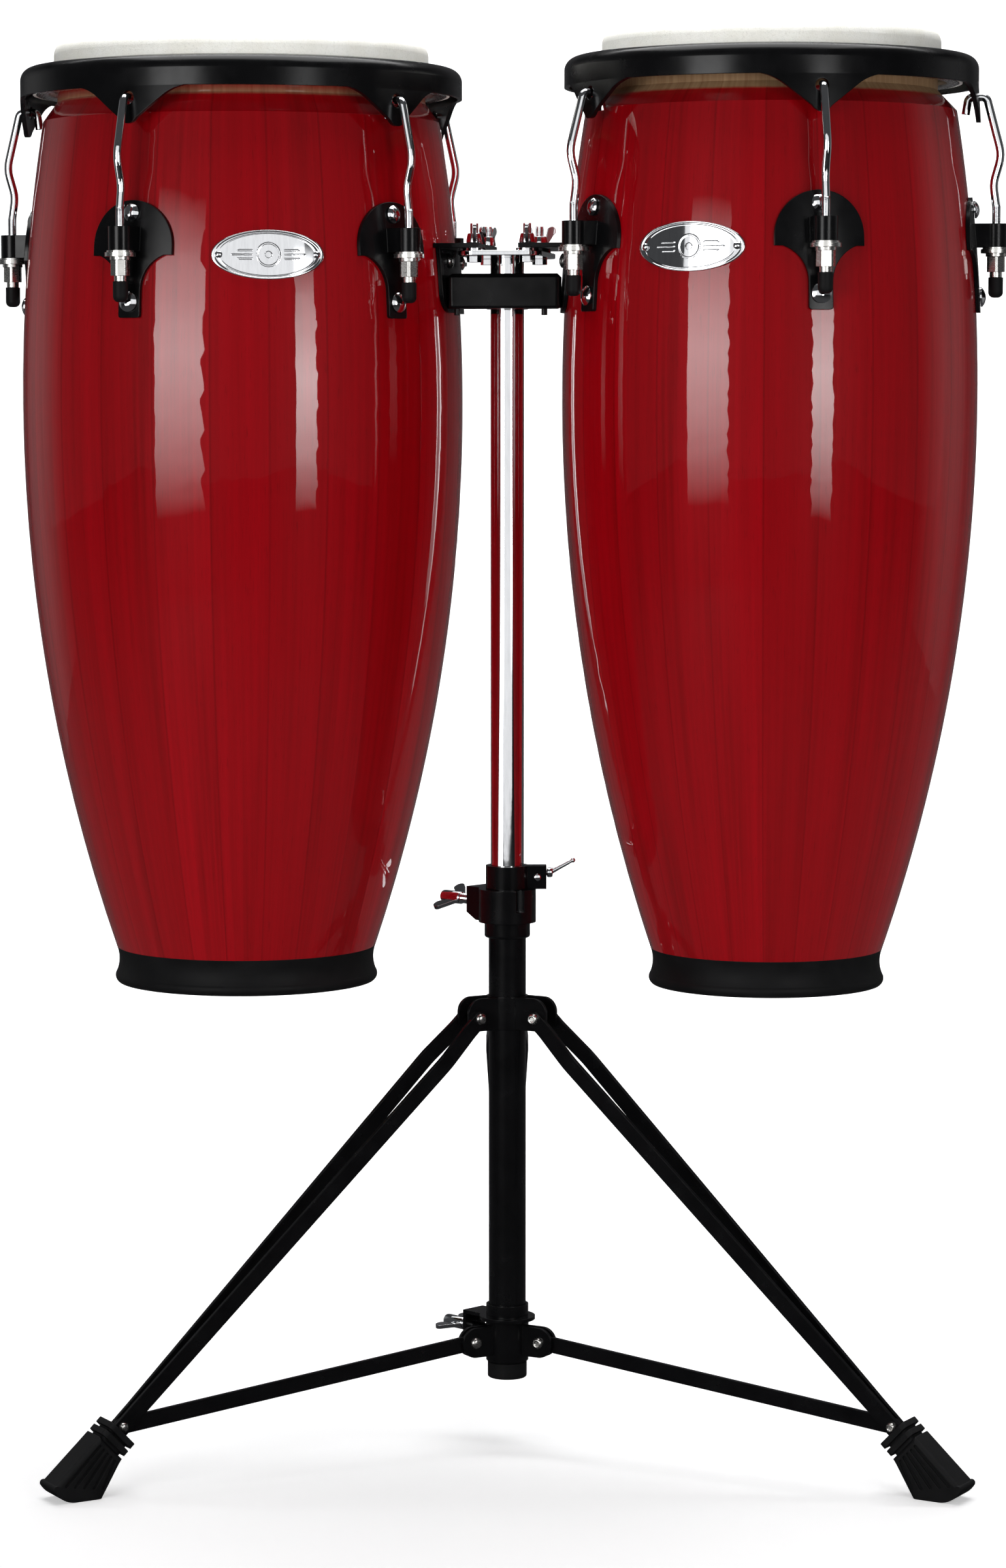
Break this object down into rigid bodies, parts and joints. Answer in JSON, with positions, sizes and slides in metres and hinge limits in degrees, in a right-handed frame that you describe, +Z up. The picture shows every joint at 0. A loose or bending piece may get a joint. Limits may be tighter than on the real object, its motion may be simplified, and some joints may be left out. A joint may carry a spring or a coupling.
{
  "type": "conga drums",
  "caption": "Barrel-shaped hand drums with tension rods, hung side by side from a height-adjustable post on a folding tripod.",
  "frame": {"origin": "point of the floor under the stand's post", "axes": "+Z up along the post; +X along the line of the drums, from the large one to the small one; -Y towards the player, where the badges face"},
  "size_m": [0.7743, 0.6363, 1.077],
  "materials": {
    "red_lacquer": "clear high-gloss lacquer over transparent red stain",
    "skin": "off-white synthetic skin, finely speckled, matt",
    "black_steel": "satin black powder coat",
    "black_rubber": "matt black rubber",
    "bush_plastic": "moulded nylon",
    "chrome": "polished chrome",
    "nickel_steel": "bright nickel plate, lightly brushed"
  },
  "bodies": {
    "stand_base": {"lower_tube": "black_steel", "tube_end_cap": "black_rubber", "tube_bush": "bush_plastic", "leg_collar": "black_steel", "height_collar": "black_steel"},
    "height_bolt": {"height_wing_bolt": "chrome"},
    "spider": {"spider": "black_steel", "spider_rivets": "nickel_steel"},
    "spider_bolt": {"spider_wing_bolt": "chrome"},
    "memory_lock": {"memory_lock": "black_steel"},
    "memory_key": {"memory_key": "chrome"},
    "drums": {"upper_tube": "chrome", "top_plate": "chrome", "crossbar": "black_steel", "plate_bolts": "chrome", "flesh_hoops": "nickel_steel", "lug_screws": "chrome", "bracket_screws": "nickel_steel", "shell_nuts": "nickel_steel", "badge_screws": "chrome", "tension_rods": "chrome", "tension_washers": "nickel_steel", "rod_tip_caps": "black_rubber", "large_shell": "red_lacquer", "large_head": "skin", "large_rim": "black_steel", "large_lug_plates": "black_steel", "large_base_ring": "black_rubber", "large_side_bracket": "black_steel", "large_badge": "chrome", "small_shell": "red_lacquer", "small_head": "skin", "small_rim": "black_steel", "small_lug_plates": "black_steel", "small_base_ring": "black_rubber", "small_side_bracket": "black_steel", "small_badge": "chrome"},
    "brace_1": {"brace_1": "black_steel"},
    "leg_1": {"leg_1": "black_steel", "foot_1": "black_rubber"},
    "brace_2": {"brace_2": "black_steel"},
    "leg_2": {"leg_2": "black_steel", "foot_2": "black_rubber"},
    "brace_3": {"brace_3": "black_steel"},
    "leg_3": {"leg_3": "black_steel", "foot_3": "black_rubber"},
    "wing_nut_1": {"wing_nut_1": "chrome"},
    "wing_nut_2": {"wing_nut_2": "chrome"},
    "wing_nut_3": {"wing_nut_3": "chrome"},
    "wing_nut_4": {"wing_nut_4": "chrome"},
    "large_tension_nut_1": {"large_tension_nut_1": "nickel_steel"},
    "large_tension_nut_2": {"large_tension_nut_2": "nickel_steel"},
    "large_tension_nut_3": {"large_tension_nut_3": "nickel_steel"},
    "large_tension_nut_4": {"large_tension_nut_4": "nickel_steel"},
    "large_tension_nut_5": {"large_tension_nut_5": "nickel_steel"},
    "small_tension_nut_1": {"small_tension_nut_1": "nickel_steel"},
    "small_tension_nut_2": {"small_tension_nut_2": "nickel_steel"},
    "small_tension_nut_3": {"small_tension_nut_3": "nickel_steel"},
    "small_tension_nut_4": {"small_tension_nut_4": "nickel_steel"},
    "small_tension_nut_5": {"small_tension_nut_5": "nickel_steel"}
  },
  "joints": [
    {"name": "spider_slide", "type": "slide", "parent": "stand_base", "child": "spider", "axis": [0, 0, 1], "range_m": [0, 0.142]},
    {"name": "brace_1_hinge", "type": "hinge", "parent": "spider", "child": "brace_1", "pos_m": [-0.00417, 0.02971, 0.078], "axis": [-0.9903, -0.1392, 0], "range_deg": [-0.01, 78.8]},
    {"name": "leg_1_hinge", "type": "hinge", "parent": "brace_1", "child": "leg_1", "pos_m": [-0.04579, 0.3258, 0.049], "axis": [-0.9903, -0.1392, 0], "range_deg": [-36.27, 0.01]},
    {"name": "brace_2_hinge", "type": "hinge", "parent": "spider", "child": "brace_2", "pos_m": [-0.02364, -0.01847, 0.078], "axis": [0.6157, -0.788, 0], "range_deg": [-0.01, 78.8]},
    {"name": "leg_2_hinge", "type": "hinge", "parent": "brace_2", "child": "leg_2", "pos_m": [-0.25926, -0.20255, 0.049], "axis": [0.6157, -0.788, 0], "range_deg": [-36.27, 0.01]},
    {"name": "brace_3_hinge", "type": "hinge", "parent": "spider", "child": "brace_3", "pos_m": [0.02782, -0.01124, 0.078], "axis": [0.3746, 0.9272, 0], "range_deg": [-0.01, 78.8]},
    {"name": "leg_3_hinge", "type": "hinge", "parent": "brace_3", "child": "leg_3", "pos_m": [0.30504, -0.12325, 0.049], "axis": [0.3746, 0.9272, 0], "range_deg": [-36.27, 0.01]},
    {"name": "height_slide", "type": "slide", "parent": "stand_base", "child": "memory_lock", "axis": [0, 0, 1], "range_m": [0, 0.2]},
    {"name": "drum_swivel", "type": "hinge", "parent": "memory_lock", "child": "drums", "pos_m": [0, 0, 0.435], "axis": [0, 0, 1], "continuous": true},
    {"name": "height_bolt_turn", "type": "hinge", "parent": "stand_base", "child": "height_bolt", "pos_m": [-0.02396, 0.01805, 0.417], "axis": [-0.7986, 0.6018, 0], "continuous": true},
    {"name": "spider_bolt_turn", "type": "hinge", "parent": "spider", "child": "spider_bolt", "pos_m": [-0.02396, 0.01805, 0.082], "axis": [-0.7986, 0.6018, 0], "continuous": true},
    {"name": "memory_key_turn", "type": "hinge", "parent": "memory_lock", "child": "memory_key", "pos_m": [0.02971, 0.00417, 0.441], "axis": [0.9903, 0.1392, 0], "continuous": true},
    {"name": "wing_nut_1_turn", "type": "hinge", "parent": "drums", "child": "wing_nut_1", "pos_m": [-0.02, -0.036, 0.926], "axis": [0, 0, 1], "continuous": true},
    {"name": "wing_nut_2_turn", "type": "hinge", "parent": "drums", "child": "wing_nut_2", "pos_m": [-0.02, 0.036, 0.926], "axis": [0, 0, 1], "continuous": true},
    {"name": "wing_nut_3_turn", "type": "hinge", "parent": "drums", "child": "wing_nut_3", "pos_m": [0.02, -0.036, 0.926], "axis": [0, 0, 1], "continuous": true},
    {"name": "wing_nut_4_turn", "type": "hinge", "parent": "drums", "child": "wing_nut_4", "pos_m": [0.02, 0.036, 0.926], "axis": [0, 0, 1], "continuous": true},
    {"name": "large_tension_nut_1_turn", "type": "hinge", "parent": "drums", "child": "large_tension_nut_1", "pos_m": [-0.25973, -0.17151, 0.896], "axis": [0, 0, 1], "continuous": true},
    {"name": "large_tension_nut_2_turn", "type": "hinge", "parent": "drums", "child": "large_tension_nut_2", "pos_m": [-0.0581, -0.106, 0.896], "axis": [0, 0, 1], "continuous": true},
    {"name": "large_tension_nut_3_turn", "type": "hinge", "parent": "drums", "child": "large_tension_nut_3", "pos_m": [-0.0581, 0.106, 0.896], "axis": [0, 0, 1], "continuous": true},
    {"name": "large_tension_nut_4_turn", "type": "hinge", "parent": "drums", "child": "large_tension_nut_4", "pos_m": [-0.25973, 0.17151, 0.896], "axis": [0, 0, 1], "continuous": true},
    {"name": "large_tension_nut_5_turn", "type": "hinge", "parent": "drums", "child": "large_tension_nut_5", "pos_m": [-0.38434, 0, 0.896], "axis": [0, 0, 1], "continuous": true},
    {"name": "small_tension_nut_1_turn", "type": "hinge", "parent": "drums", "child": "small_tension_nut_1", "pos_m": [0.25105, 0.16019, 0.901], "axis": [0, 0, 1], "continuous": true},
    {"name": "small_tension_nut_2_turn", "type": "hinge", "parent": "drums", "child": "small_tension_nut_2", "pos_m": [0.06273, 0.099, 0.901], "axis": [0, 0, 1], "continuous": true},
    {"name": "small_tension_nut_3_turn", "type": "hinge", "parent": "drums", "child": "small_tension_nut_3", "pos_m": [0.06273, -0.099, 0.901], "axis": [0, 0, 1], "continuous": true},
    {"name": "small_tension_nut_4_turn", "type": "hinge", "parent": "drums", "child": "small_tension_nut_4", "pos_m": [0.25105, -0.16019, 0.901], "axis": [0, 0, 1], "continuous": true},
    {"name": "small_tension_nut_5_turn", "type": "hinge", "parent": "drums", "child": "small_tension_nut_5", "pos_m": [0.36744, 0, 0.901], "axis": [0, 0, 1], "continuous": true}
  ],
  "couplings": [
    {"joint": "brace_1_hinge", "follows": "spider_slide", "rad_per_m": 9.6829},
    {"joint": "leg_1_hinge", "follows": "spider_slide", "rad_per_m": -4.4558},
    {"joint": "brace_2_hinge", "follows": "spider_slide", "rad_per_m": 9.6829},
    {"joint": "leg_2_hinge", "follows": "spider_slide", "rad_per_m": -4.4558},
    {"joint": "brace_3_hinge", "follows": "spider_slide", "rad_per_m": 9.6829},
    {"joint": "leg_3_hinge", "follows": "spider_slide", "rad_per_m": -4.4558}
  ]
}
